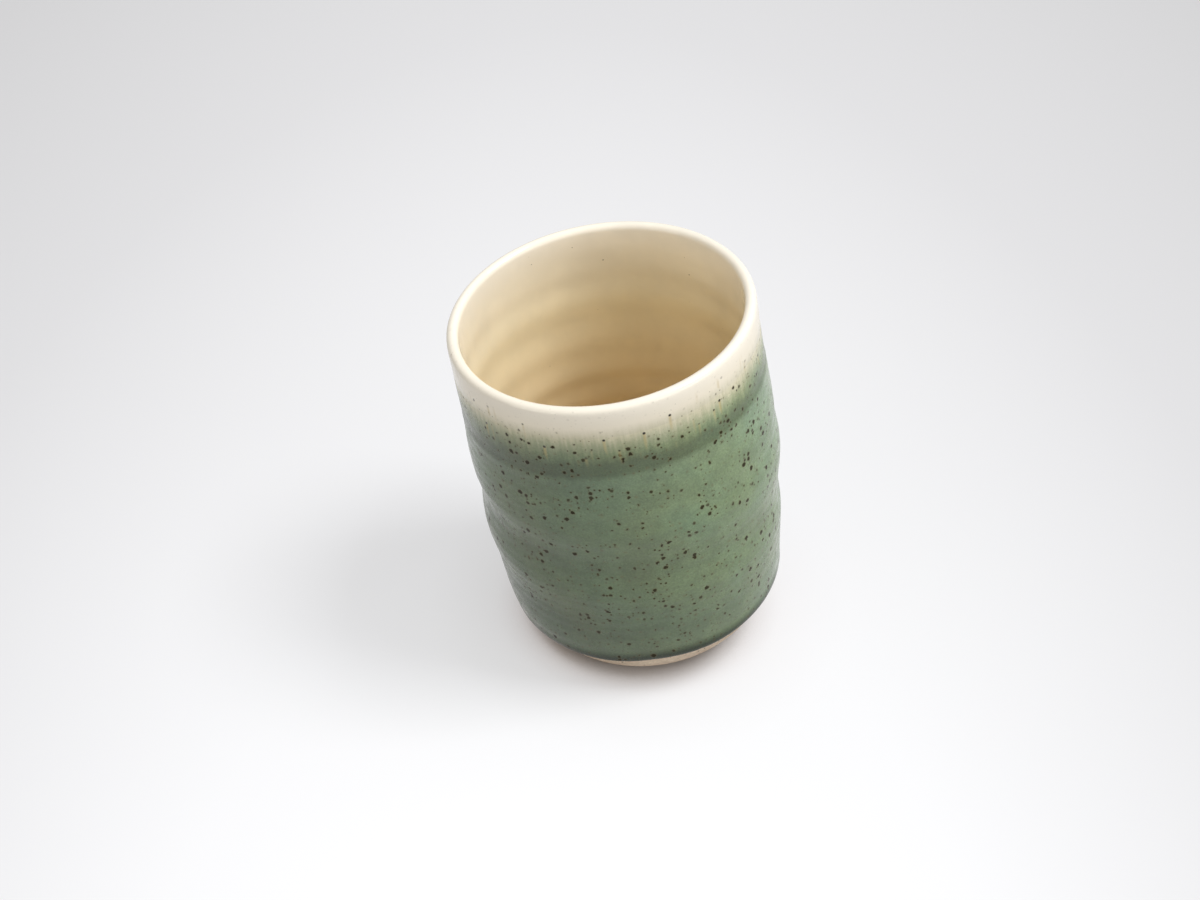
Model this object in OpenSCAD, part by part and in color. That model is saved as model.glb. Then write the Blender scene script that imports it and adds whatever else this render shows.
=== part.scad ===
// Yunomi tea cup of thrown stoneware, with a cream liner glaze and a green glaze outside.
// The cup leans: it stands on a flat that is ground into its domed base at an angle, off the cup axis.
// Sections are drawn upright, with the cup axis at zero and the centre of the dome's curve at zero height.

/* [Form] */
// Crest of the lip to the lowest point of the dome before the flat is ground, along the cup axis
cup_h = 105; // [95:1:120]
// Outside diameter of the glazed lip
lip_d = 76; // [70:1:82]
// Outside diameter of the clay where the wall turns into the heel
heel_d = 71.4; // [67:0.2:75]
// Angle by which the wall opens outwards above the heel
heel_flare = 6; // [0:0.5:10]
// Angle by which the wall draws in again below the lip
lip_draw = 2.5; // [0:0.5:6]
// Radius of the turn from the wall to the base, as a share of the heel's diameter
heel_round_share = 0.35; // [0.3:0.01:0.4]
// Radius of the domed base, as a share of the heel's diameter
dome_round_share = 0.616; // [0.58:0.004:0.9]

/* [Clay] */
// Thickness of the clay at the lip
lip_t = 2.2; // [1.6:0.1:4]
// Thickness of the clay where the wall turns into the heel
base_t = 5; // [3:0.1:8]
// Thickness of the clay in the dome before the flat is ground
floor_t = 11.5; // [10:0.1:14]
// Distance from one throwing ring to the next, along the wall
ring_pitch = 21; // [12:1:40]
// How far a throwing ring stands out from the mean wall
ring_depth = 0.15; // [0:0.05:0.6]

/* [Glaze] */
// Thickness of the cream liner glaze
liner_t = 0.4; // [0.2:0.05:0.8]
// Thickness of the green glaze on the wall
green_t = 0.6; // [0.3:0.05:1]
// Thickness of the roll along the lower edge of the green glaze
roll_t = 1.1; // [0.6:0.05:1.6]
// Depth below the crest of the lip at which the green glaze begins
lap_depth = 8; // [5:0.5:16]
// Length over which the green glaze lies on the liner glaze
lap_len = 6; // [3:0.5:12]
// Part of the turn at the heel that the green glaze covers, from the wall down to the roll
edge_share = 0.33; // [0.15:0.01:0.9]

/* [Stand] */
// Angle by which the cup leans
lean = 8.5; // [0:0.5:12]
// Diameter of the flat ground into the dome
flat_d = 48; // [36:1:50]

/* [Hidden] */
// Sides of a full turn
$fn = 96;
// Straight steps in one throwing ring, in the dome, in the heel, in the lip and in the roll
ring_steps = 8;
dome_steps = 7;
heel_steps = 6;
edge_steps = 4;
lip_steps = 8;
roll_steps = 4;
// Part of the green heel over which the roll thins to the coat
ease_share = 0.6;
// Overrun of a cut
overrun = 4;

// Dome and heel: the heel's circle touches the dome's circle from the inside
heel_round = heel_d * heel_round_share;
dome_round = heel_d * dome_round_share;
heel_gap = dome_round - heel_round;
heel_c_r = heel_d / 2 - heel_round * cos(heel_flare);
dome_reach = asin(heel_c_r / heel_gap);
dome_c = [0, 0];
heel_c = [heel_c_r, -heel_gap * cos(dome_reach)];

// Directions in which the arcs of the base begin and end, and that of the green glaze's lower edge
dome_start = -90;
dome_end = dome_start + dome_reach;
heel_end = -heel_flare;
edge = heel_end + (dome_end - heel_end) * edge_share;

// Roll: a quarter round, which then thins to the coat
roll_top = edge + roll_t / heel_round * 180 / PI;
roll_end = roll_top + (heel_end - roll_top) * ease_share;

// Lip: a half round of clay, with the liner glaze over it
lip_r = lip_t / 2;
crest_z = cup_h - dome_round;
lip_c = [lip_d / 2 - liner_t - lip_r, crest_z - liner_t - lip_r];
lip_start = lip_draw;
lip_end = lip_draw + 180;

// Wall: from the end of the heel's arc up to the outer end of the lip's half round
wall_r0 = heel_d / 2;
wall_z0 = heel_c[1] - heel_round * sin(heel_flare);
wall_r1 = lip_c[0] + lip_r * cos(lip_draw);
wall_z1 = lip_c[1] + lip_r * sin(lip_draw);
wall_h = wall_z1 - wall_z0;

// Lap of the two glazes, as shares of the wall's height
lap_top_share = (crest_z - lap_depth - wall_z0) / wall_h;
lap_end_share = lap_top_share - lap_len / wall_h;

// Depth of the cap that the flat takes off the dome
flat_depth = dome_round - sqrt(dome_round * dome_round - flat_d * flat_d / 4);

// Mean radius of the clay's outside: a curve that leaves the heel and meets the lip at the given angles
function mean_r(t) =
    (2 * t * t * t - 3 * t * t + 1) * wall_r0
    + (t * t * t - 2 * t * t + t) * wall_h * tan(heel_flare)
    + (3 * t * t - 2 * t * t * t) * wall_r1
    + (t * t - t * t * t) * wall_h * tan(lip_draw);

// Slope of that curve, in degrees from upright
function slope(t) =
    atan((6 * t - 6 * t * t) * (wall_r1 - wall_r0) / wall_h
    + (3 * t * t - 4 * t + 1) * tan(heel_flare)
    + (2 * t - 3 * t * t) * tan(lip_draw));

// Throwing rings, which die away towards the heel and the lip
function ring(t) = ring_depth * sin(360 * t * wall_h / ring_pitch) * (1 - pow(cos(180 * t), 4));

// A point of the wall at share t of its height, d outside the clay
function skin(t, d) = [
    mean_r(t) + ring(t) + d * cos(slope(t)),
    wall_z0 + t * wall_h - d * sin(slope(t))
];

// Thickness of the clay in the wall
function clay_t(t) = base_t + (lip_t - base_t) * t;

// How much of the liner glaze's thickness is left under the green glaze
function lap(t) = max(0, min(1, (t - lap_end_share) / (lap_top_share - lap_end_share)));

// Thickness of both glazes together on the outside of the wall
function coat_t(t) = green_t + (liner_t - green_t) * lap(t);

// Steps from a up to b, without b itself
function run(a, b, n) = [for (i = [0 : n - 1]) a + (b - a) * i / n];

// Shares of the wall from a up to b, fine enough for the throwing rings
function wall_run(a, b) = run(a, b, ceil((b - a) * wall_h / ring_pitch * ring_steps));

function reverse(list) = [for (i = [1 : len(list)]) list[len(list) - i]];

// Point on a circle
function polar(c, r, a) = c + r * [cos(a), sin(a)];

coat_shares = wall_run(0, lap_end_share);
lap_shares = wall_run(lap_end_share, lap_top_share);
band_shares = wall_run(lap_top_share, 1);
wall_shares = concat(coat_shares, lap_shares, band_shares);

// Part of the turn at the heel that lies between the wall and the direction a
function turned(a) = (heel_end - a) / (heel_end - dome_end);

// Line of the base at depth d under the clay's outside, from the cup axis to the wall; it gets deeper
// round the heel, and in the dome it lies deeper by more
function base_line(d, more = 0) = concat(
    [for (a = run(dome_start, dome_end, dome_steps)) polar(dome_c, dome_round - d - more, a)],
    [for (a = run(dome_end, edge, heel_steps)) polar(heel_c, heel_round - d - more * turned(a), a)],
    edge_line(d, more)
);

// Part of that line which the green glaze covers
function edge_line(d, more = 0) = [
    for (a = run(edge, heel_end, edge_steps)) polar(heel_c, heel_round - d - more * turned(a), a)
];

// Line of the outside of the clay up to the lip
outer_line = concat(base_line(0), [for (t = wall_shares) skin(t, 0)]);

// Line of the inside at depth d under the clay's inner face, up to the lip
function inner_line(d) = concat(
    base_line(base_t + d, floor_t - base_t),
    [for (t = concat(wall_shares, [1])) skin(t, -clay_t(t) - d)]
);

// Line over the lip from the outside to the inside, d above the clay
function lip_line(d) = [for (a = run(lip_start, lip_end, lip_steps)) polar(lip_c, lip_r + d, a)];

// Line of the liner glaze on the outside, from under the green glaze up to the lip
band_line = [for (t = concat(lap_shares, band_shares)) if (lap(t) > 0) skin(t, liner_t * lap(t))];

// Line of the roll and of the green heel, from the lower edge up to the wall
roll_line = concat(
    [for (q = run(0, 90, roll_steps)) if (q > 0) polar(
        heel_c,
        heel_round + roll_t * sin(q),
        edge + (roll_top - edge) * (1 - cos(q))
    )],
    [for (q = run(0, 1, roll_steps)) polar(
        heel_c,
        heel_round + green_t + (roll_t - green_t) * (1 + cos(180 * q)) / 2,
        roll_top + (roll_end - roll_top) * q
    )],
    [for (a = run(roll_end, heel_end, roll_steps)) polar(heel_c, heel_round + green_t, a)]
);

// Turns a section about the cup axis, leans it and sets the flat on the ground
module stand() {
    translate([0, 0, dome_round - flat_depth])
        rotate([0, -lean, 0])
            rotate_extrude()
                children();
}

module clay_section() {
    polygon(concat(outer_line, lip_line(0), reverse(inner_line(0))));
}

module liner_section() {
    polygon(concat(
        inner_line(liner_t),
        reverse(concat(band_line, lip_line(liner_t))),
        [for (t = concat(lap_shares, band_shares)) skin(t, 0)],
        lip_line(0),
        reverse(inner_line(0))
    ));
}

module green_section() {
    polygon(concat(
        roll_line,
        [for (t = concat(coat_shares, lap_shares, [lap_top_share])) skin(t, coat_t(t))],
        reverse([for (t = concat(coat_shares, lap_shares)) skin(t, liner_t * lap(t))]),
        reverse(edge_line(0))
    ));
}

// Thrown and trimmed body of speckled stoneware, with its flat
module clay_body() {
    color([0.72, 0.64, 0.55])
        difference() {
            stand()
                clay_section();
            translate([0, 0, -flat_depth - overrun])
                cylinder(h = flat_depth + overrun, d = flat_d + overrun);
        }
}

// Cream glaze inside the cup, over the lip and a little way down the outside
module liner_glaze() {
    color([0.93, 0.89, 0.80])
        stand()
            liner_section();
}

// Green glaze on the outside, from the lap below the lip down to its roll above the bare base
module green_glaze() {
    color([0.44, 0.48, 0.39])
        stand()
            green_section();
}

clay_body();
liner_glaze();
green_glaze();
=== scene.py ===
# %% [markdown]
# # A leaning tea cup
# A yunomi is a tall tea cup without a handle. This one was thrown on a wheel from speckled stoneware, and
# glazed cream inside and green outside. It leans, because the flat that it stands on lies at an angle in its
# domed base. Its solids come with their true sizes. This lesson dresses them: it gives the wall the
# unevenness that a hand leaves in wet clay, and builds the three surfaces, which are cream glaze, green
# glaze and bare clay.

# %% Load the solids
from math import atan2, cos, hypot, pi, radians, sin, sqrt

import bmesh
import bpy
from mathutils import Matrix, Vector


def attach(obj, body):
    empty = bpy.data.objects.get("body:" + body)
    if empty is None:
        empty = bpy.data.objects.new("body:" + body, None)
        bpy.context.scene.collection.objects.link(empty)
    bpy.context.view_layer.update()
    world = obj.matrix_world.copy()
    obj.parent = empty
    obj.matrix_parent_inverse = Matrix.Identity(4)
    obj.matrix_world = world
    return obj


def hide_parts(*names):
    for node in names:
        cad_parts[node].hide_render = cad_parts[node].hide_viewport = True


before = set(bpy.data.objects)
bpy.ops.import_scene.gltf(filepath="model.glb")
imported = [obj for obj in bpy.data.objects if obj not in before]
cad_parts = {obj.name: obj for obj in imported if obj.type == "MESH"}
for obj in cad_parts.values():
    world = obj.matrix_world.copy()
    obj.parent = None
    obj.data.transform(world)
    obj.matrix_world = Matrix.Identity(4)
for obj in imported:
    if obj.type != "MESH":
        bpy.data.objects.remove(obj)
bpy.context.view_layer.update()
print("solids:", ", ".join(sorted(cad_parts)))

# %% [markdown]
# ## Standing the cup upright to work on it
# A potter works on an upright cup, and that is easier in Blender too: every ring and every edge of a glaze
# then runs round the Z axis. The cup leans about the middle of its domed base, so one matrix takes the
# upright cup to its place on the ground, and the inverse of that matrix stands the solids upright.

# %% The cup's own axis
MM = 0.001
LEAN = radians(8.5)
DOME_ROUND = 43.98 * MM
FLAT_RADIUS = 24.0 * MM

dome_height = sqrt(DOME_ROUND ** 2 - FLAT_RADIUS ** 2)
to_ground = Matrix.Translation((0, 0, dome_height)) @ Matrix.Rotation(-LEAN, 4, "Y")
to_upright = to_ground.inverted()

crest = max((to_upright @ v.co).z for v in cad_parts["liner_glaze"].data.vertices)
print("crest of the lip above the middle of the dome: %.1f mm" % (crest / MM))

# %% [markdown]
# ## Taking the profile from a solid
# A thrown pot is a profile turned about an axis. The profile could be drawn again point by point, but it is
# in the solid already: cutting a copy of the solid with a plane through the axis leaves just that line.
# The dressed cup then starts from the solid's own sizes, so the two can't drift apart.

# %% Cut a solid along the axis
TOUCH = 0.001 * MM


def profile_of(node_name):
    """The right half of a solid's cut, as a chain of edges in the XZ plane of the upright cup."""
    shape = bmesh.new()
    shape.from_mesh(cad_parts[node_name].data)
    bmesh.ops.transform(shape, matrix=to_upright, verts=shape.verts)
    bmesh.ops.remove_doubles(shape, verts=shape.verts, dist=TOUCH)
    for normal, leave_only_the_cut in (((0, 1, 0), True), ((1, 0, 0), False)):
        bmesh.ops.bisect_plane(
            shape, geom=shape.verts[:] + shape.edges[:] + shape.faces[:], dist=TOUCH,
            plane_co=(0, 0, 0), plane_no=normal, clear_inner=True, clear_outer=leave_only_the_cut)
    print("%s: profile of %d points" % (node_name, len(shape.verts)))
    return shape


# %% [markdown]
# ## Throwing
# Spinning the profile once round the axis is what the wheel does. The spin merges its last copy with its
# first, so there is no seam, and merging doubles closes the pole, where a profile ends on the axis.
# The straight steps of the solid would show as facets. A Subdivision Surface modifier turns them into one
# smooth curve, and its result is taken back into a mesh, because the finger marks need its finer points.

# %% Spin a profile and smooth it
TURN_STEPS = 128


def throw(profile, name):
    """A new upright object: the profile spun once round the axis, after one round of subdivision."""
    bmesh.ops.spin(
        profile, geom=profile.verts[:] + profile.edges[:], cent=(0, 0, 0), axis=(0, 0, 1),
        dvec=(0, 0, 0), angle=2 * pi, steps=TURN_STEPS, use_merge=True, use_duplicate=False)
    bmesh.ops.remove_doubles(profile, verts=profile.verts, dist=TOUCH)
    bmesh.ops.recalc_face_normals(profile, faces=profile.faces)
    thrown = bpy.data.meshes.new(name)
    profile.to_mesh(thrown)
    profile.free()
    piece = bpy.data.objects.new(name, thrown)
    bpy.context.scene.collection.objects.link(piece)
    smoothing = piece.modifiers.new("smoothing", "SUBSURF")
    smoothing.levels = smoothing.render_levels = 1
    bpy.context.view_layer.update()
    evaluated = piece.evaluated_get(bpy.context.evaluated_depsgraph_get())
    smooth = bpy.data.meshes.new_from_object(evaluated)
    piece.modifiers.clear()
    piece.data = smooth
    return piece


# %% [markdown]
# ## The marks of the hand
# Fingers that rise while the wheel turns leave a spiral ridge on the wall, with finer lines on it, and a
# closer spiral inside. Below the lip a finger was held still, which left a level groove with a sharp lower
# edge. The cup also dried a little out of round and out of true. Most of this is less than a millimetre, but
# light shows it. A sculpting brush could make such marks, but no two runs would be alike. Here each mark is a
# small move of the points, worked out from their angle and from how far they lie below the crest of the lip.

# %% Zones of the wall
def ease(start, end, value):
    """Rises smoothly from 0 at start to 1 at end."""
    share = min(1.0, max(0.0, (value - start) / (end - start)))
    return share * share * (3 - 2 * share)


def within(zone, below):
    """1 well inside a zone, 0 outside it. A zone is where a mark starts, is full, fades and is gone, in mm."""
    start, full, fade, gone = (depth * MM for depth in zone)
    return ease(start, full, below) * ease(gone, fade, below)


# %% Outside
RIDGED = (12, 26, 72, 86)
RIDGE_RISE = 24 * MM
RIDGE_START = 45.5 * MM
RIDGE_LIGHT = 0.14 * MM
RIDGE_FIRM = 0.5 * MM
FIRM = (34, 42, 58, 72)
LINE_RISE = 3.1 * MM
LINE_HEIGHT = 0.03 * MM
LINE_SWAY = 5 * MM
GROOVED = (8, 15, 18.5, 21.5)
GROOVE_DEPTH = 0.2 * MM
GROOVE_TILT = 0.9 * MM
TUCKED = (2, 12, 24, 44)
COLLAR_TUCK = 0.38 * MM


def outer_mark(turn, below):
    """How far the outside stands out, at an angle round the axis and a distance below the lip's crest."""
    ridge_height = RIDGE_LIGHT + (RIDGE_FIRM - RIDGE_LIGHT) * within(FIRM, below)
    ridge = ridge_height * cos(2 * pi * (RIDGE_START - below) / RIDGE_RISE + turn)
    line = LINE_HEIGHT * sin(2 * pi * below / LINE_RISE - turn + 2 * sin(below / LINE_SWAY))
    groove = GROOVE_DEPTH * within(GROOVED, below + GROOVE_TILT * cos(turn))
    collar = COLLAR_TUCK * within(TUCKED, below)
    return within(RIDGED, below) * (ridge + line) - groove - collar


print("ridge outside: %.1f mm high, rises %.0f mm in a turn" % (RIDGE_FIRM / MM, RIDGE_RISE / MM))

# %% [markdown]
# Inside there is one more thing to do. The thick floor of the solid meets its thinner heel in a faint ring.
# A thumb or a rib would have drawn the floor into one bowl, so the points near that ring sink a little.

# %% Inside
SPIRALLED = (6, 20, 90, 99)
INNER_RISE = 9.5 * MM
INNER_HEIGHT = 0.2 * MM
INNER_SWAY = 9 * MM
PRESSURE_LENGTH = 13 * MM
BOWL_DIP = 1.2 * MM
BOWL_RING = 18.3 * MM
BOWL_TOP = -20 * MM
BOWL_REACH = 36 * MM
DIP_INWARDS = 9 * MM
DIP_OUTWARDS = 3.4 * MM


def inner_mark(turn, below):
    """How far the inside stands back from its mean, likewise."""
    firmness = 0.75 + 0.25 * sin(2 * turn + below / PRESSURE_LENGTH)
    spiral = sin(2 * pi * below / INNER_RISE + turn + 1.5 * sin(below / INNER_SWAY))
    return within(SPIRALLED, below) * INNER_HEIGHT * firmness * spiral


def bowl_dip(radius, height):
    """How far the inner floor sinks at a distance from the axis, so that the bowl runs on smoothly."""
    if height > BOWL_TOP or hypot(radius, height) > BOWL_REACH:
        return 0.0
    fall = DIP_INWARDS if radius < BOWL_RING else DIP_OUTWARDS
    return BOWL_DIP * max(0.0, 1 - abs(radius - BOWL_RING) / fall)


print("spiral inside: %.1f mm high, rises %.1f mm in a turn" % (INNER_HEIGHT / MM, INNER_RISE / MM))

# %% Out of true
BENT = (16, 28, 84, 96)
BEND = 0.25 * MM
BEND_START = 22 * MM
BEND_LENGTH = 72 * MM
BASE_ASIDE = 0.7 * MM
BASE_FORWARD = 0.8 * MM


def drift(below):
    """How far the middle of the cup has moved off the axis."""
    bend = BEND * sin(2 * pi * (below - BEND_START) / BEND_LENGTH) * within(BENT, below)
    aside = BASE_ASIDE * ease(82 * MM, 100 * MM, below)
    forward = BASE_FORWARD * ease(88 * MM, 96 * MM, below)
    return Vector((bend + aside, -forward, 0))


print("base: %.1f mm aside and %.1f mm forward" % (BASE_ASIDE / MM, BASE_FORWARD / MM))

# %% Move the points and lean the piece
OVAL = 0.15 * MM
OVAL_TURN = 0.6
AXIS_REACH = 5 * MM
MID_WALL = 36.5 * MM
MID_WALL_TAPER = 3.1 / 80
SHARP_EDGE = radians(65)


def finish_by_hand(piece, touch_up=None):
    """Gives an upright piece its marks of the hand, leans it and shades it smooth."""
    for point in piece.data.vertices:
        turn = atan2(point.co.y, point.co.x)
        radius = hypot(point.co.x, point.co.y)
        below = crest - point.co.z
        is_inside = radius < MID_WALL - MID_WALL_TAPER * below
        moved = inner_mark(turn, below) if is_inside else outer_mark(turn, below)
        moved += OVAL * cos(2 * turn + OVAL_TURN) * ease(95 * MM, 20 * MM, below)
        moved *= ease(0, AXIS_REACH, radius)
        point.co.z -= bowl_dip(radius, point.co.z)
        point.co += Vector((cos(turn), sin(turn), 0)) * moved + drift(below)
        if touch_up:
            touch_up(point, turn)
    piece.data.transform(to_ground)
    piece.data.polygons.foreach_set("use_smooth", [True] * len(piece.data.polygons))
    piece.data.set_sharp_from_angle(angle=SHARP_EDGE)
    piece.data.update()
    print("%s: %d faces" % (piece.name, len(piece.data.polygons)))


# %% [markdown]
# ## The clay body
# The bare base is all that shows of the clay. The solid's profile ends on the flat that the cup stands on,
# so that stretch is taken out and the dome runs on to the axis. After the spin the flat is cut again, with
# one plane at ground level, which gives it a clean round edge.

# %% Clay body
NEAR_GROUND = 0.2 * MM

clay_profile = profile_of("clay_body")
flat_points = [v for v in clay_profile.verts if v.co.z < 0 and abs((to_ground @ v.co).z) < NEAR_GROUND]
bmesh.ops.delete(clay_profile, geom=flat_points, context="VERTS")
dome_end = min((v for v in clay_profile.verts if len(v.link_edges) == 1), key=lambda v: v.co.z)
pole = clay_profile.verts.new((0, 0, -DOME_ROUND))
dome_rest = clay_profile.edges.new((pole, dome_end))
bmesh.ops.subdivide_edges(clay_profile, edges=[dome_rest], cuts=4)
for point in clay_profile.verts:
    is_low = point.co.z < -0.8 * DOME_ROUND
    if is_low and point.co.length > 0.95 * DOME_ROUND:
        point.co = point.co.normalized() * DOME_ROUND
clay_body = throw(clay_profile, "cup_clay")
finish_by_hand(clay_body)

# %% Cut the flat
standing = bmesh.new()
standing.from_mesh(clay_body.data)
cut = bmesh.ops.bisect_plane(
    standing, geom=standing.verts[:] + standing.edges[:] + standing.faces[:], dist=TOUCH,
    plane_co=(0, 0, 0), plane_no=(0, 0, -1), clear_outer=True)
flat_rim = [part for part in cut["geom_cut"] if isinstance(part, bmesh.types.BMEdge)]
for face in bmesh.ops.edgeloop_fill(standing, edges=flat_rim)["faces"]:
    face.smooth = False
for edge in flat_rim:
    edge.smooth = False
standing.to_mesh(clay_body.data)
standing.free()
print("flat: %d edges round it" % len(flat_rim))

# %% [markdown]
# ## The two glazes
# Each coat is a thin shell: cream inside and over the lip, green outside, down to the thick roll where the
# melted glaze stopped running. They are thrown from their own profiles like the clay and get the same marks,
# so they stay in touch with it. The green needs a little more. Its thin upper edge sinks into the cream,
# since the two melted together, and its roll hangs lower in some places than in others.

# %% Liner glaze
liner_glaze = throw(profile_of("liner_glaze"), "cup_liner")
finish_by_hand(liner_glaze)

# %% Green glaze
EDGE_SINK = 0.06 * MM
ROLL_SAG = 0.22 * MM
LOW_SIDE = radians(-50)
LOW_SIDE_SAG = 0.8 * MM
FINE_STEP = 1.5 * MM

green_profile = profile_of("green_glaze")
long_edges = [edge for edge in green_profile.edges if edge.calc_length() > FINE_STEP]
bmesh.ops.subdivide_edges(green_profile, edges=long_edges, cuts=1)
green_top = max(point.co.z for point in green_profile.verts)
green_foot = min(point.co.z for point in green_profile.verts)


def melt_edges(point, turn):
    """Sinks the upper edge into the cream, and lets the roll sag unevenly."""
    sunk = EDGE_SINK * ease(green_top - 2.5 * MM, green_top - 0.3 * MM, point.co.z)
    point.co -= Vector((cos(turn), sin(turn), 0)) * sunk
    sag = ROLL_SAG * (sin(3 * turn + 0.6) + 0.6 * sin(7 * turn + 2))
    sag += LOW_SIDE_SAG * ease(0.75, 1.0, cos(turn - LOW_SIDE))
    point.co.z -= sag * ease(green_foot + 6 * MM, green_foot + MM, point.co.z)


green_glaze = throw(green_profile, "cup_green")
finish_by_hand(green_glaze, melt_edges)

# %% [markdown]
# ## Small helpers for materials
# A material is a tree of nodes. A few helpers keep the trees short to write: one adds a node with its settings
# and links, the others add the kinds of node that come up most. Colours are written as they look on a
# screen, and are turned into the linear values that Blender works with.

# %% Nodes and numbers
def add(tree, kind, inputs=None, **settings):
    """A new node. Each input is a plain value or the socket of another node."""
    made = tree.nodes.new(kind)
    for key, value in settings.items():
        setattr(made, key, value)
    for key, value in (inputs or {}).items():
        if isinstance(value, bpy.types.NodeSocket):
            tree.links.new(value, made.inputs[key])
        else:
            made.inputs[key].default_value = value
    return made


def reckon(tree, operation, first, second=0.0):
    """One step of arithmetic."""
    return add(tree, "ShaderNodeMath", {0: first, 1: second}, operation=operation).outputs[0]


def times(tree, product, *factors):
    """The product of two or more values."""
    for factor in factors:
        product = reckon(tree, "MULTIPLY", product, factor)
    return product


def scaled(tree, place, scale):
    """A place with each of its three coordinates multiplied."""
    return add(tree, "ShaderNodeVectorMath", {0: place, 1: scale}, operation="MULTIPLY").outputs[0]


def length_of(tree, place):
    """How far a place lies from the origin."""
    return add(tree, "ShaderNodeVectorMath", {0: place}, operation="LENGTH").outputs["Value"]


def spread(tree, value, low, high, start=0.0, end=1.0):
    """Maps low to start and high to end, with soft ends."""
    return add(tree, "ShaderNodeMapRange", {0: value, 1: low, 2: high, 3: start, 4: end},
               interpolation_type="SMOOTHSTEP").outputs[0]


# %% Noise and colours
NOISE_LOW, NOISE_HIGH = 0.3, 0.7


def noise(tree, place, size, detail=2.0):
    """A cloudy value round 0.5, with lumps of about the given size."""
    return add(tree, "ShaderNodeTexNoise", {"Vector": place, "Scale": 1 / size, "Detail": detail}).outputs[0]


def blend(tree, share, first, second, kind="MIX"):
    """Mixes two colours, or multiplies them."""
    made = add(tree, "ShaderNodeMix", {0: share, 6: first, 7: second}, data_type="RGBA", blend_type=kind)
    return made.outputs[2]


def shade(tree, colour, value, weakest, strongest):
    """Multiplies a colour by a noise value, spread between two strengths."""
    return blend(tree, 1.0, colour, spread(tree, value, NOISE_LOW, NOISE_HIGH, weakest, strongest), "MULTIPLY")


def ramp(tree, share, stops):
    """A colour that runs from stop to stop as the share rises."""
    made = add(tree, "ShaderNodeValToRGB", {0: share})
    elements = made.color_ramp.elements
    while len(elements) < len(stops):
        elements.new(0.5)
    for element, (position, colour) in zip(elements, stops):
        element.position = position
        element.color = colour
    return made.outputs[0]


def tone(red, green, blue):
    """A screen colour, each part from 0 to 255, as linear values."""
    linear = [((part / 255 + 0.055) / 1.055) ** 2.4 for part in (red, green, blue)]
    return (*linear, 1.0)


# %% Materials
def new_material(name, **shader_inputs):
    """A material with its node tree and its shader. An underscore in an input's name stands for a space."""
    made = bpy.data.materials.new(name)
    made.use_nodes = True
    shader = made.node_tree.nodes["Principled BSDF"]
    for key, value in shader_inputs.items():
        shader.inputs[key.replace("_", " ")].default_value = value
    return made, made.node_tree, shader


def upright_place(tree):
    """Object coordinates, turned so that Z runs along the cup's own axis."""
    place = add(tree, "ShaderNodeTexCoord").outputs["Object"]
    return add(tree, "ShaderNodeMapping", {
        "Vector": place, "Location": to_upright.translation, "Rotation": to_upright.to_euler()}).outputs[0]


def uneven_gloss(tree, shader, place, size, smoothest, roughest):
    """Roughness that changes in patches of about the given size."""
    patches = noise(tree, place, size, 3.0)
    roughness = spread(tree, patches, NOISE_LOW, NOISE_HIGH, smoothest, roughest)
    tree.links.new(roughness, shader.inputs["Roughness"])


def relief(tree, shader, height, distance):
    """Fine relief that light shows, up to about the given distance high."""
    made = add(tree, "ShaderNodeBump", {"Strength": 1.0, "Distance": distance, "Height": height})
    tree.links.new(made.outputs[0], shader.inputs["Normal"])


# %% [markdown]
# ## Iron specks
# Grains of iron in the clay melt through the glaze as dark dots with a rusty halo. A Voronoi texture scatters
# points in space, each with a random colour. That random value sets how large its dot is, so there are
# many fine dots and few large ones. A soft noise crowds them in some places and thins them out in others.

# %% Specks
CROWD_SIZE = 9.5 * MM


def specks(tree, place, spacing, largest, shrink=1.0):
    """Masks of the dark cores and of the halos of dots up to a given radius. Shrink makes all dots smaller."""
    lumps = add(tree, "ShaderNodeTexNoise", {"Vector": place, "Scale": 1 / (1.3 * largest), "Detail": 1.0})
    nudge = add(tree, "ShaderNodeVectorMath", {
        0: lumps.outputs["Color"], 1: (largest, largest, largest), 2: place}, operation="MULTIPLY_ADD")
    cells = add(tree, "ShaderNodeTexVoronoi", {"Vector": nudge.outputs[0], "Scale": 1 / spacing})
    away = times(tree, cells.outputs["Distance"], spacing / largest)
    luck = add(tree, "ShaderNodeSeparateColor", {0: cells.outputs["Color"]}).outputs[0]
    crowd = spread(tree, noise(tree, place, CROWD_SIZE, 1.0), 0.36, 0.58, 0.5, 1.05)
    size = times(tree, spread(tree, luck, 0.35, 1.1, 0.28, 1.0), crowd, shrink)
    inside = reckon(tree, "SUBTRACT", size, away)
    strength = spread(tree, luck, 0.3, 1.0, 0.3, 1.0)
    core = times(tree, spread(tree, inside, -0.08, 0.12), strength)
    halo = times(tree, spread(tree, inside, -0.6, 0.1), strength)
    return core, halo


# %% [markdown]
# Below the lip some specks have bled: the running glaze drew a short tan line down from them. One stretched
# Voronoi cell holds both. Measured from the cell's point in true millimetres, a small round patch is the
# speck, and a narrow strip under it is the run.

# %% Specks that bled
STRETCH = 0.2
BLED_SPACING = 1.6 * MM


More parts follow.
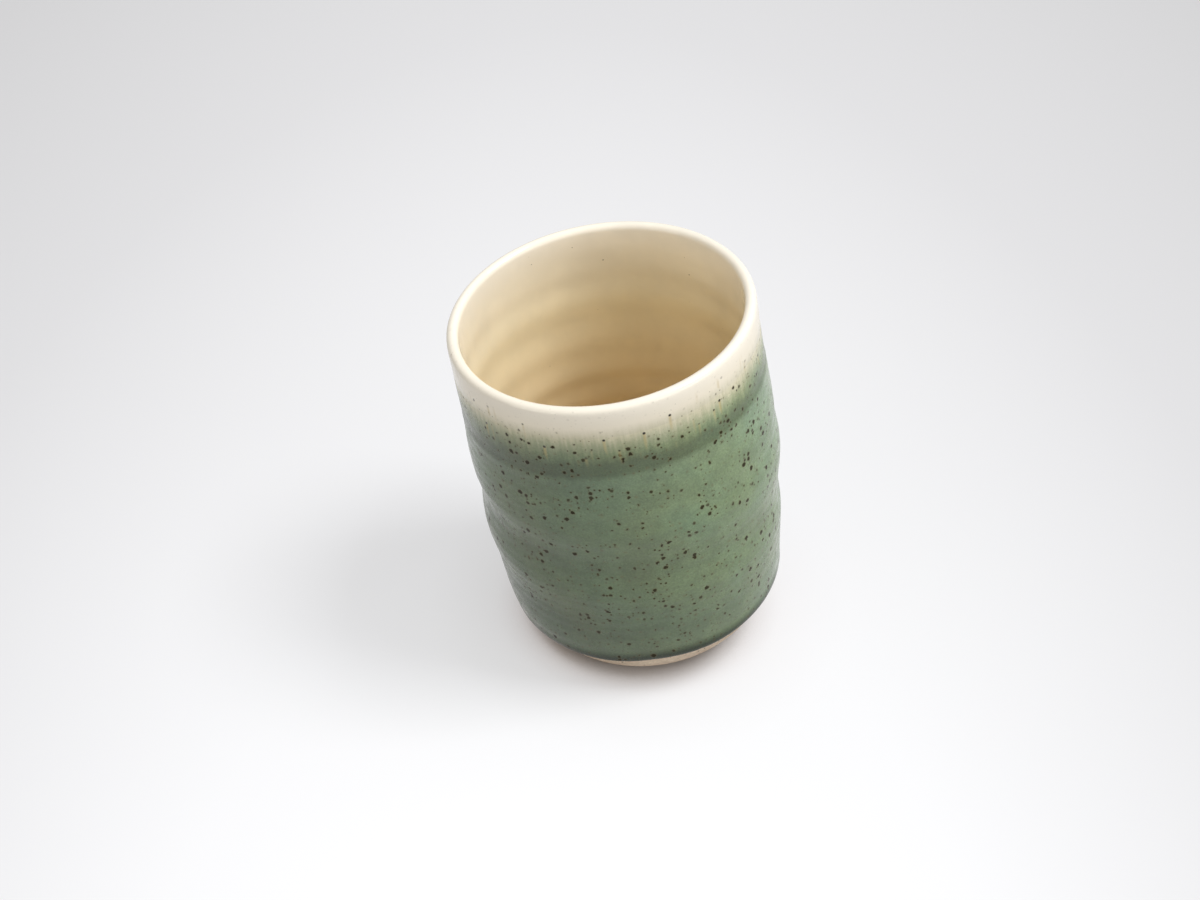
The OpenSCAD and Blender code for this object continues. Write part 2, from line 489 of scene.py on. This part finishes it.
def bled_specks(tree, place):
    """Masks of the specks and of the runs under them."""
    squeezed = scaled(tree, place, (1, 1, STRETCH))
    cells = add(tree, "ShaderNodeTexVoronoi", {"Vector": squeezed, "Scale": 1 / BLED_SPACING})
    luck = add(tree, "ShaderNodeSeparateColor", {0: cells.outputs["Color"]}).outputs[0]
    offset = add(tree, "ShaderNodeVectorMath", {
        0: squeezed, 1: cells.outputs["Position"]}, operation="SUBTRACT").outputs[0]
    true_offset = scaled(tree, offset, (1, 1, 1 / STRETCH))
    away = length_of(tree, true_offset)
    aside = length_of(tree, scaled(tree, offset, (1, 1, 0)))
    rise = add(tree, "ShaderNodeSeparateXYZ", {0: true_offset}).outputs[2]

    speck = times(tree, spread(tree, away, 0.5 * MM, 0.25 * MM), reckon(tree, "GREATER_THAN", luck, 0.5))
    thinning = spread(tree, rise, -6.5 * MM, -1 * MM)
    under_speck = spread(tree, rise, 0.3 * MM, -0.3 * MM)
    narrow = spread(tree, aside, 0.6 * MM, 0.1 * MM)
    run = times(tree, thinning, under_speck, narrow, reckon(tree, "GREATER_THAN", luck, 0.6))
    return speck, run


# %% [markdown]
# ## The colour of the wall
# Outside, the colour follows the height: cream at the lip, a streaked change where the green lies thinly over
# the cream, a dark band of pooled glaze deepened by painted shade in the groove, then sage green, and dark
# again at the roll.
# The tones could be painted on an image, but a ramp over the height stays sharp at any distance, and a
# little noise added to the height makes the streaks of the lap.

# %% Colour by height
WALL_REACH = 90 * MM
WALL_RADIUS = 38 * MM
WALL_TONES = (
    (0, tone(247, 240, 226)),  # crest of the lip
    (5.5, tone(241, 232, 212)),  # last of the plain cream
    (9, tone(206, 200, 172)),  # first veil of green over the cream
    (11.5, tone(162, 166, 134)),
    (14.2, tone(122, 135, 101)),
    # the groove's dark band is pooled glaze with painted shade on top
    (16.8, tone(90, 104, 75)),  # pool in the groove
    (19.8, tone(86, 100, 73)),  # lower edge of the groove
    (21.5, tone(112, 130, 101)),
    (27, tone(116, 135, 104)),  # lightest green, on the shoulder
    (36, tone(110, 128, 98)),
    (50, tone(106, 123, 92)),  # middle of the wall
    (62, tone(105, 121, 90)),
    (73, tone(97, 113, 84)),  # turn into the heel
    (79, tone(103, 119, 91)),
    (82, tone(96, 112, 83)),
    (84.5, tone(34, 48, 27)))  # roll
STREAK_PULL = (1, 1, 0.1)
STREAK_WIDTH = 0.8 * MM
STREAK_REACH = 3.8 * MM
SWAY_WIDTH = 28 * MM
SWAY_REACH = 5 * MM
ROLL_RISE = 1.3 * MM


def tone_by_height(tree, place, across, below):
    """The plain colour of the wall, with its streaked lap, its tilted groove and its uneven roll."""
    streak = reckon(tree, "SUBTRACT", noise(tree, scaled(tree, place, STREAK_PULL), STREAK_WIDTH), 0.5)
    sway = reckon(tree, "SUBTRACT", noise(tree, place, SWAY_WIDTH, 1.0), 0.5)
    uneven = reckon(tree, "ADD", times(tree, sway, SWAY_REACH), times(tree, streak, STREAK_REACH))
    in_lap = times(tree, spread(tree, below, 4 * MM, 10 * MM), spread(tree, below, 20 * MM, 14 * MM, 0.1, 1.0))
    tilt = times(tree, across, GROOVE_TILT / WALL_RADIUS, spread(tree, below, 10 * MM, 16 * MM))
    rise = times(tree, spread(tree, across, 0, 25 * MM, 0, ROLL_RISE), spread(tree, below, 72 * MM, 80 * MM))

    depth = reckon(tree, "ADD", reckon(tree, "ADD", below, tilt), times(tree, uneven, in_lap))
    share = reckon(tree, "DIVIDE", reckon(tree, "SUBTRACT", depth, rise), WALL_REACH)
    return ramp(tree, share, [(stop * MM / WALL_REACH, wall_tone) for stop, wall_tone in WALL_TONES])


# %% [markdown]
# A glaze is never one flat colour. It is thicker, so darker, in the hollows of the spiral, it is warmer in some
# clouds than in others, and it is mottled and grained. Each of these multiplies the colour by a value close
# to 1. One more factor follows the side, and it is painted light and shade: it makes the green darker on the
# left and lighter on the right than these lamps alone make it, and one photo can't tell whether that is the
# glaze or the light. The lip has a thin even coat, so it stays plain.

# %% Clouds and grain
CLOUD_SIZE = 16 * MM
MOTTLE_SIZE = 4.5 * MM
GRAIN_SIZE = 0.5 * MM


def clouded(tree, place, across, along, below, plain):
    """The plain colour of the wall with the unevenness of a fired glaze, and painted side light and shade."""
    turn = reckon(tree, "ARCTAN2", along, across)
    climb = times(tree, reckon(tree, "SUBTRACT", RIDGE_START, below), 2 * pi / RIDGE_RISE)
    ridge = reckon(tree, "COSINE", reckon(tree, "ADD", climb, turn))
    hollows = spread(tree, ridge, -1.0, -0.4, 0.9, 1.0)
    # painted light and shade across the cup: darker on the left, lighter on the right
    painted_side_shading = spread(tree, across, -0.6 * WALL_RADIUS, WALL_RADIUS, 0.72, 1.25)
    warmth = ramp(tree, noise(tree, place, CLOUD_SIZE), [
        (0.35, (0.94, 1.0, 1.0, 1)), (0.65, (1.0, 0.98, 0.90, 1))])
    colour = plain
    for layer in (hollows, painted_side_shading, warmth):
        colour = blend(tree, 1.0, colour, layer, "MULTIPLY")
    colour = shade(tree, colour, noise(tree, place, MOTTLE_SIZE, 4.0), 0.9, 1.1)
    colour = shade(tree, colour, noise(tree, place, GRAIN_SIZE, 1.0), 0.89, 1.11)
    return blend(tree, spread(tree, below, 7 * MM, 16 * MM), plain, colour)


# %% [markdown]
# The specks come last, because they melt through everything else. Towards the lip they get smaller and
# paler, as the cream covers them. One function then puts the three steps together, since both glazes show
# this colour where they lap.

# %% Specks on the wall
IRON = tone(40, 33, 9)
RUST = tone(98, 84, 46)
TAN_RUN = tone(188, 166, 104)
FINE_SPECKS = {"spacing": 1.15 * MM, "largest": 0.32 * MM}
COARSE_SPECKS = {"spacing": 1.8 * MM, "largest": 0.66 * MM}


def speckled(tree, place, below, colour):
    """A colour with iron specks over it, and a mask of the specks."""
    shrink = spread(tree, below, 2 * MM, 17 * MM, 0.3, 1.0)
    strength = spread(tree, below, 4 * MM, 10 * MM, 0.3, 1.0)
    iron_mask = 0.0
    for layer, darkness in ((FINE_SPECKS, 0.8), (COARSE_SPECKS, 0.95)):
        core, halo = specks(tree, place, shrink=shrink, **layer)
        core = times(tree, core, strength)
        colour = blend(tree, times(tree, halo, strength, 0.45), colour, RUST)
        colour = blend(tree, times(tree, core, darkness), colour, IRON)
        iron_mask = reckon(tree, "MAXIMUM", iron_mask, core)

    in_lap = times(tree, spread(tree, below, 3 * MM, 6 * MM), spread(tree, below, 18 * MM, 12 * MM))
    speck, run = bled_specks(tree, place)
    colour = blend(tree, times(tree, run, in_lap, 0.5), colour, TAN_RUN)
    colour = blend(tree, times(tree, speck, in_lap), colour, IRON)
    return colour, iron_mask


def wall_colour(tree, place):
    """The colour of the outside, and a mask of its iron specks."""
    across, along, height = add(tree, "ShaderNodeSeparateXYZ", {0: place}).outputs
    below = reckon(tree, "SUBTRACT", crest, height)
    plain = tone_by_height(tree, place, across, below)
    return speckled(tree, place, below, clouded(tree, place, across, along, below, plain))


# %% [markdown]
# ## Green glaze
# The finish is a satin gloss, rougher in some patches than in others. The specks stand out by a hair and are
# dry, so that highlights break up on them as they do on a fired surface, and the dark roll glosses less.

# %% Green glaze material
green_material, tree, shader = new_material("sage_glaze", IOR=1.5)
place = upright_place(tree)
colour, iron_mask = wall_colour(tree, place)
tree.links.new(colour, shader.inputs["Base Color"])
uneven_gloss(tree, shader, place, 3 * MM, 0.16, 0.3)

height = add(tree, "ShaderNodeSeparateXYZ", {0: place}).outputs[2]
off_specks = reckon(tree, "SUBTRACT", 1.0, times(tree, iron_mask, 0.8))
above_roll = spread(tree, height, crest - 87 * MM, crest - 82 * MM, 0.2, 0.5)
tree.links.new(times(tree, off_specks, above_roll), shader.inputs["Specular IOR Level"])

bumps = reckon(tree, "ADD", noise(tree, place, 0.9 * MM), times(tree, iron_mask, 0.8))
relief(tree, shader, bumps, 0.02 * MM)
green_glaze.data.materials.append(green_material)
print("%s: %d nodes" % (green_material.name, len(tree.nodes)))

# %% [markdown]
# ## Cream glaze
# Inside, the cream is warmer than on the lip, and it grows darker and warmer towards the floor, partly as
# painted shade. The inner spiral shows in it as faint bands. Outside, below the lip, it takes the colour of the
# wall, so that the border of the two coats doesn't show.

# %% Cream glaze material
# the inside ramp darkens towards the floor partly as painted shade
INSIDE_TONES = (
    (0.0, tone(247, 240, 226)),  # crest of the lip
    (0.09, tone(246, 236, 213)),
    (0.25, tone(243, 229, 194)),
    (0.7, tone(222, 198, 154)))  # floor
BORDER_HALF = 0.3 * MM

cream_material, tree, shader = new_material("cream_glaze", IOR=1.5)
place = upright_place(tree)
wall, _ = wall_colour(tree, place)
height = add(tree, "ShaderNodeSeparateXYZ", {0: place}).outputs[2]
below = reckon(tree, "SUBTRACT", crest, height)
inner_cream_and_shade = ramp(tree, reckon(tree, "DIVIDE", below, WALL_REACH), INSIDE_TONES)
inner_cream_and_shade = shade(tree, inner_cream_and_shade, noise(tree, place, 11 * MM, 3.0), 0.96, 1.02)
core, _ = specks(tree, place, spacing=3.6 * MM, largest=0.3 * MM)
inner_cream_and_shade = blend(tree, times(tree, core, 0.6), inner_cream_and_shade, RUST)

radius = length_of(tree, scaled(tree, place, (1, 1, 0)))
untapered = reckon(tree, "ADD", radius, times(tree, below, MID_WALL_TAPER))
is_inside = spread(tree, untapered, MID_WALL + BORDER_HALF, MID_WALL - BORDER_HALF)
tree.links.new(blend(tree, is_inside, wall, inner_cream_and_shade), shader.inputs["Base Color"])
uneven_gloss(tree, shader, place, 4 * MM, 0.06, 0.14)
relief(tree, shader, noise(tree, place, 1.4 * MM), 0.012 * MM)
liner_glaze.data.materials.append(cream_material)
print("%s: %d nodes" % (cream_material.name, len(tree.nodes)))

# %% [markdown]
# ## Bare clay
# The base was trimmed with a tool while it turned, and was then wiped with a sponge, which left fine rings and
# uncovered the grit. The fired clay is dry and takes hardly any highlight.

# %% Bare clay material
GRIT_SIZE = 0.7 * MM
TRIMMING_STEP = 0.8 * MM

clay_material, tree, shader = new_material("bare_clay", Roughness=0.9, Specular_IOR_Level=0.2)
place = upright_place(tree)
grit = noise(tree, place, GRIT_SIZE, 4.0)
colour = ramp(tree, noise(tree, place, 6 * MM, 4.0), [(0.3, tone(216, 194, 171)), (0.7, tone(236, 217, 194))])
colour = shade(tree, colour, grit, 0.88, 1.08)
core, halo = specks(tree, place, spacing=1.8 * MM, largest=0.3 * MM)
colour = blend(tree, times(tree, halo, 0.4), colour, RUST)
colour = blend(tree, times(tree, core, 0.8), colour, IRON)
tree.links.new(colour, shader.inputs["Base Color"])

height = add(tree, "ShaderNodeSeparateXYZ", {0: place}).outputs[2]
trimming = reckon(tree, "SINE", times(tree, height, 2 * pi / TRIMMING_STEP))
relief(tree, shader, reckon(tree, "ADD", times(tree, trimming, 0.3), grit), 0.05 * MM)
clay_body.data.materials.append(clay_material)
print("%s: %d nodes" % (clay_material.name, len(tree.nodes)))

# %% [markdown]
# ## Putting the pieces on the solids
# Each new piece takes the place of one solid, which is hidden. Nothing on a cup moves by itself,
# so all three ride on the one body.

# %% Pieces
for piece, node_name, slot_name in (
        (clay_body, "clay_body", "bare_clay"),
        (liner_glaze, "liner_glaze", "cream_glaze"),
        (green_glaze, "green_glaze", "green_glaze")):
    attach(piece, "root")
    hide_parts(node_name)
    print("%s takes the place of %s" % (piece.name, node_name))

# %% [markdown]
# ## Floor
# The photo was taken on a white sweep that darkens a little towards its back and sides. More light would make
# the floor white, but the cup too pale. So the floor is a pale grey that keeps the shadow of the cup, and for
# the camera and for reflections it also glows a little. Close under the cup, where an Ambient Occlusion node
# finds little open room, the glow fades, and the dark line of contact stays.

# %% Floor
FLOOR_HALF = 1.5

sheet = bmesh.new()
bmesh.ops.create_grid(sheet, x_segments=1, y_segments=1, size=FLOOR_HALF)
floor_mesh = bpy.data.meshes.new("floor")
sheet.to_mesh(floor_mesh)
sheet.free()
floor = bpy.data.objects.new("floor", floor_mesh)
bpy.context.scene.collection.objects.link(floor)
print("floor: %.0f m wide" % (2 * FLOOR_HALF))

# %% Floor material
GLOW_MIDDLE = (0.04, 0.25, 0.0)
GLOW_SHAPE = (2.5, 1.0, 1.0)
CONTACT_REACH = 25 * MM

floor_material, tree, shader = new_material(
    "pale_floor", Base_Color=(0.376, 0.38, 0.39, 1), Roughness=1.0, Specular_IOR_Level=0.0)
place = add(tree, "ShaderNodeTexCoord").outputs["Object"]
from_front = add(tree, "ShaderNodeMapping", {
    "Vector": place, "Location": GLOW_MIDDLE, "Scale": GLOW_SHAPE}).outputs[0]
glow = ramp(tree, length_of(tree, from_front), [
    (0.08, (0.6, 0.6, 0.602, 1)), (0.28, (0.52, 0.518, 0.526, 1)),
    (0.55, (0.305, 0.3, 0.306, 1)), (0.85, (0.18, 0.175, 0.176, 1))])
openness = add(tree, "ShaderNodeAmbientOcclusion", {"Distance": CONTACT_REACH}, samples=16).outputs["AO"]
under_cup = ramp(tree, openness, [
    (0.2, (0.04, 0.025, 0.015, 1)), (0.3, (0.22, 0.18, 0.15, 1)), (0.4, (0.7, 0.66, 0.64, 1)),
    (0.6, (0.94, 0.935, 0.93, 1)), (1.0, (1, 1, 1, 1))])
tree.links.new(blend(tree, 1.0, glow, under_cup, "MULTIPLY"), shader.inputs["Emission Color"])
rays = add(tree, "ShaderNodeLightPath").outputs
seen = reckon(tree, "MAXIMUM", rays["Is Camera Ray"], rays["Is Glossy Ray"])
tree.links.new(seen, shader.inputs["Emission Strength"])
floor_mesh.materials.append(floor_material)
print("%s: %d nodes" % (floor_material.name, len(tree.nodes)))

# %% [markdown]
# ## Light
# Most of the light comes softly from above, as in a room with a pale ceiling, and a colour ramp over the
# direction makes that room. The camera itself sees a plain pale backdrop instead of it.

# %% Room
ROOM_LIGHT = 1.48
BRIGHTEST_WAY = (0.3, -0.12, 0.946)
BACKDROP = (0.42, 0.42, 0.42, 1)

scene = bpy.context.scene
scene.view_settings.view_transform = "Standard"
room = bpy.data.worlds.new("soft_room")
scene.world = room
room.use_nodes = True
tree = room.node_tree
sky = tree.nodes["Background"]
way = add(tree, "ShaderNodeTexCoord").outputs["Generated"]
upward = add(tree, "ShaderNodeVectorMath", {0: way, 1: BRIGHTEST_WAY}, operation="DOT_PRODUCT")
sky_colour = ramp(tree, upward.outputs["Value"], [
    (0.0, (0.25, 0.244, 0.23, 1)), (0.3, (0.29, 0.284, 0.27, 1)), (0.5, (0.36, 0.354, 0.342, 1)),
    (0.75, (0.49, 0.486, 0.478, 1)), (1.0, (0.61, 0.608, 0.604, 1))])
seen = add(tree, "ShaderNodeLightPath").outputs["Is Camera Ray"]
tree.links.new(blend(tree, seen, sky_colour, BACKDROP), sky.inputs["Color"])
sky.inputs["Strength"].default_value = ROOM_LIGHT
print("%s: %d nodes" % (room.name, len(tree.nodes)))

# %% [markdown]
# Three large lamps stand in for what is bright in the room. A window high on the right lights the far side of
# the inside and gives the lip its highlight. A pale wall low on the right brightens that side of the cup, and
# a weak warm one low on the left keeps the left of the lip from turning grey.

# %% Lamps
LAMP_DISTANCE = 5.0
WARM_WHITE = (1.0, 0.93, 0.83)


def soft_lamp(name, azimuth, elevation, wide, tall, power, colour=(1, 1, 1)):
    """A rectangular lamp that faces the cup."""
    azimuth, elevation = radians(azimuth), radians(elevation)
    lamp = bpy.data.lights.new(name, "AREA")
    lamp.shape = "RECTANGLE"
    lamp.size, lamp.size_y = wide, tall
    lamp.energy = power
    lamp.color = colour
    stand = bpy.data.objects.new(name, lamp)
    way = Vector((cos(elevation) * cos(azimuth), cos(elevation) * sin(azimuth), sin(elevation)))
    stand.location = way * LAMP_DISTANCE
    stand.rotation_euler = stand.location.to_track_quat("Z", "Y").to_euler()
    scene.collection.objects.link(stand)
    print("%s: %.0f W" % (name, power))


soft_lamp("window", azimuth=-3, elevation=61, wide=1.8, tall=2.0, power=164)
soft_lamp("pale_wall", azimuth=-42, elevation=12, wide=4.0, tall=1.6, power=40)
soft_lamp("warm_wall", azimuth=218, elevation=3.5, wide=3.0, tall=0.6, power=30, colour=WARM_WHITE)

# %% [markdown]
# ## Camera
# The view looks down at the cup from a little over half a metre away, through a long lens, so the round lip
# is a calm ellipse. The camera could be aimed with a constraint, but its place is known better than that: it
# is set off from the middle of the lip, which was the surest point to measure.

# %% Camera
VIEW_DOWN = radians(40.75)
FOCAL_PIXELS = 2300
IMAGE_WIDTH = 1200
LIP_ROUND = 1.5 * MM
LIP_ASIDE = 0.16 * MM
LIP_ABOVE = 32.67 * MM
LIP_AWAY = 558.38 * MM

lip_middle = to_ground @ Vector((0, 0, crest - LIP_ROUND))
aside = Vector((1, 0, 0))
ahead = Vector((0, cos(VIEW_DOWN), -sin(VIEW_DOWN)))
above = Vector((0, sin(VIEW_DOWN), cos(VIEW_DOWN)))
lens = bpy.data.cameras.new("camera")
lens.lens = FOCAL_PIXELS * lens.sensor_width / IMAGE_WIDTH
camera = bpy.data.objects.new("camera", lens)
camera.location = lip_middle - LIP_ASIDE * aside - LIP_ABOVE * above - LIP_AWAY * ahead
camera.rotation_euler = (pi / 2 - VIEW_DOWN, 0, 0)
scene.collection.objects.link(camera)
scene.camera = camera
print("camera: %.0f mm lens, %.2f m above the floor" % (lens.lens, camera.location.z))
